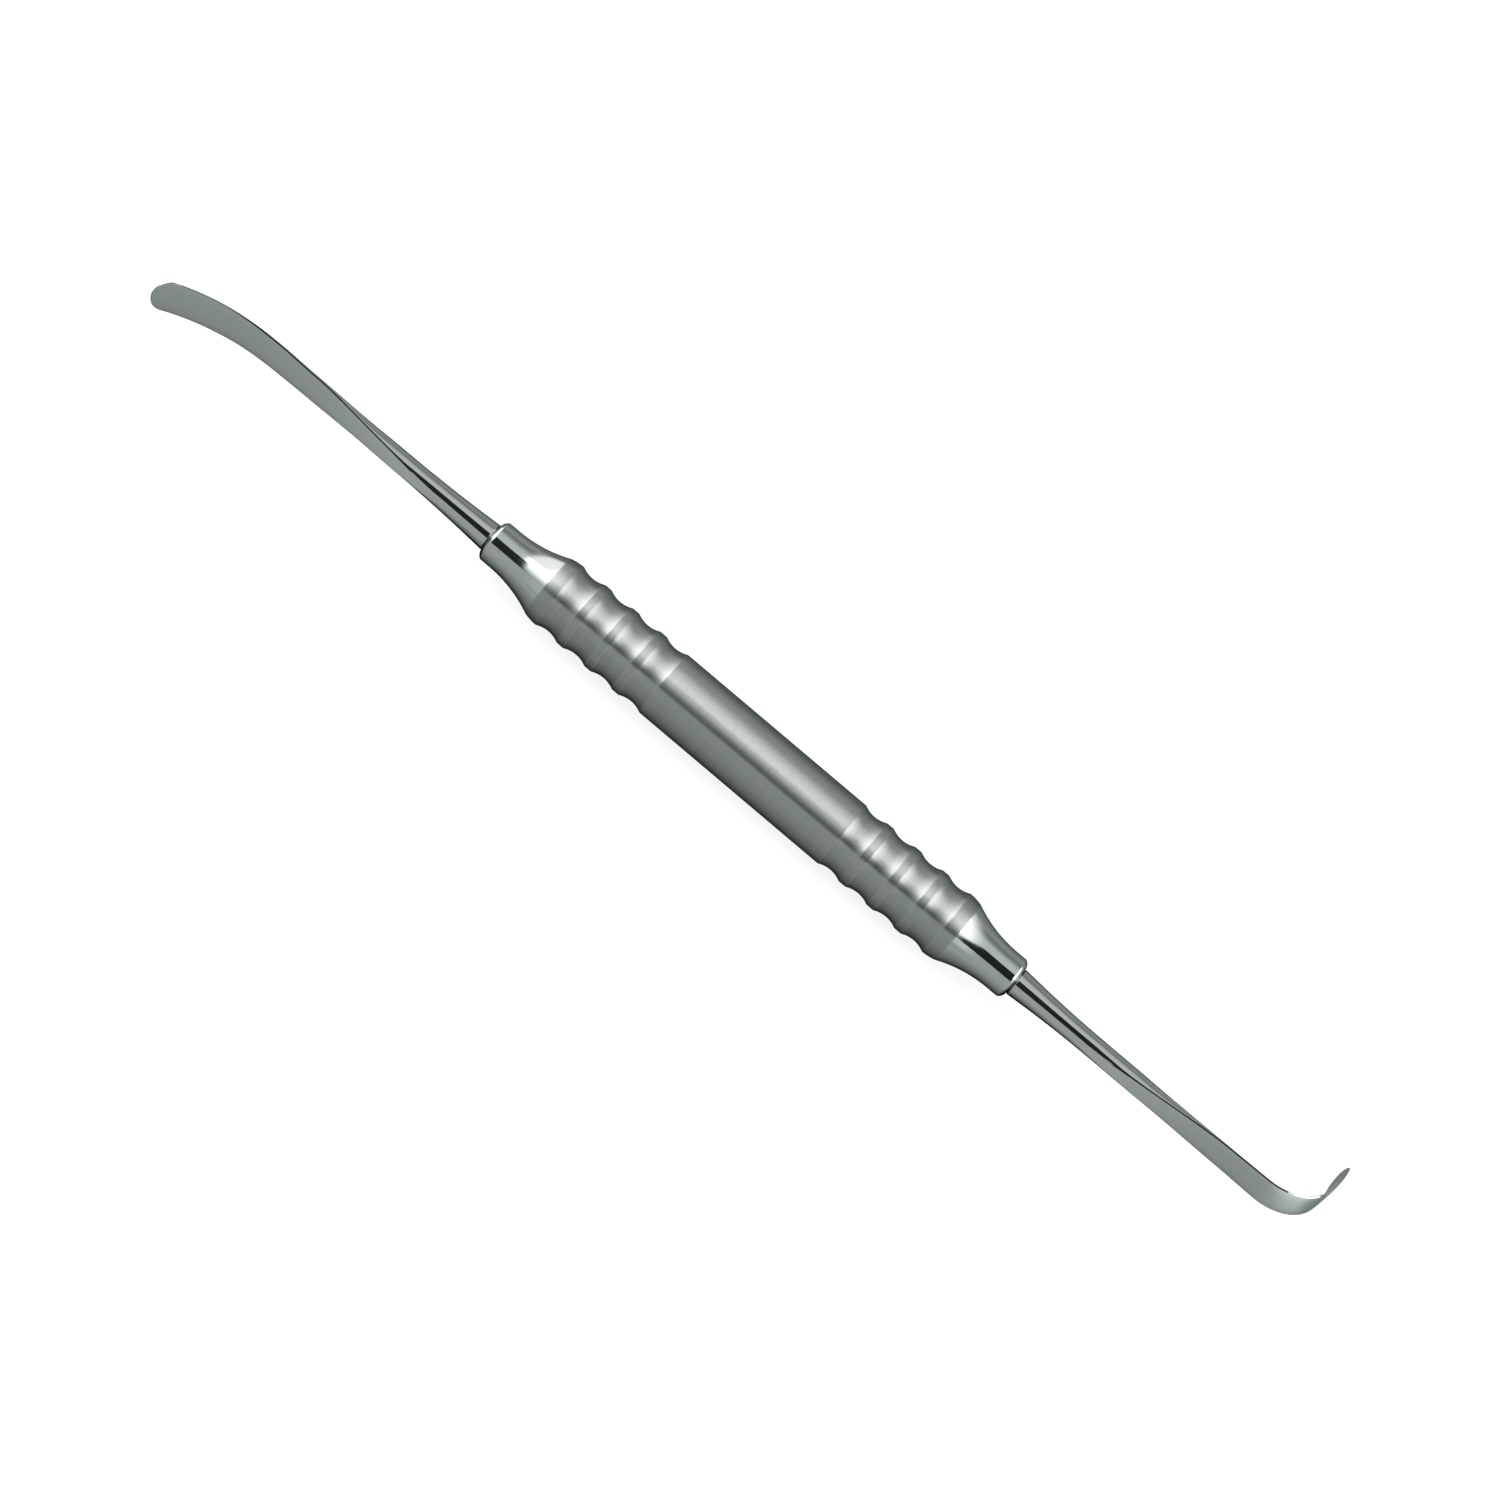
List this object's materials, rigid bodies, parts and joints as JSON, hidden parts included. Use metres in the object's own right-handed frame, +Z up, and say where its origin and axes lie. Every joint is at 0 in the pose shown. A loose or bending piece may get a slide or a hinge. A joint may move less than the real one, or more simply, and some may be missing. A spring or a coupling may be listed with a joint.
{
  "type": "sinus lift elevator",
  "caption": "Double-ended steel dental elevator: a turned handle with grooved grips, a gently curved spatula blade at one end and a hooked spatula blade at the other.",
  "frame": {"origin": "middle of the handle's lowest facet, on the surface that the instrument lies on", "axes": "+X along the handle towards the hooked blade, +Z up with the instrument lying at rest, +Y to the side that the hook points to"},
  "size_m": [0.1781, 0.0175, 0.0091],
  "materials": {
    "grip_steel": "satin turned grip and barrel, with polished cones at the ends",
    "blade_steel": "polished round shanks running into satin flat blades"
  },
  "bodies": {
    "root": {"handle": "grip_steel", "curved_blade": "blade_steel", "hooked_blade": "blade_steel"}
  },
  "joints": []
}
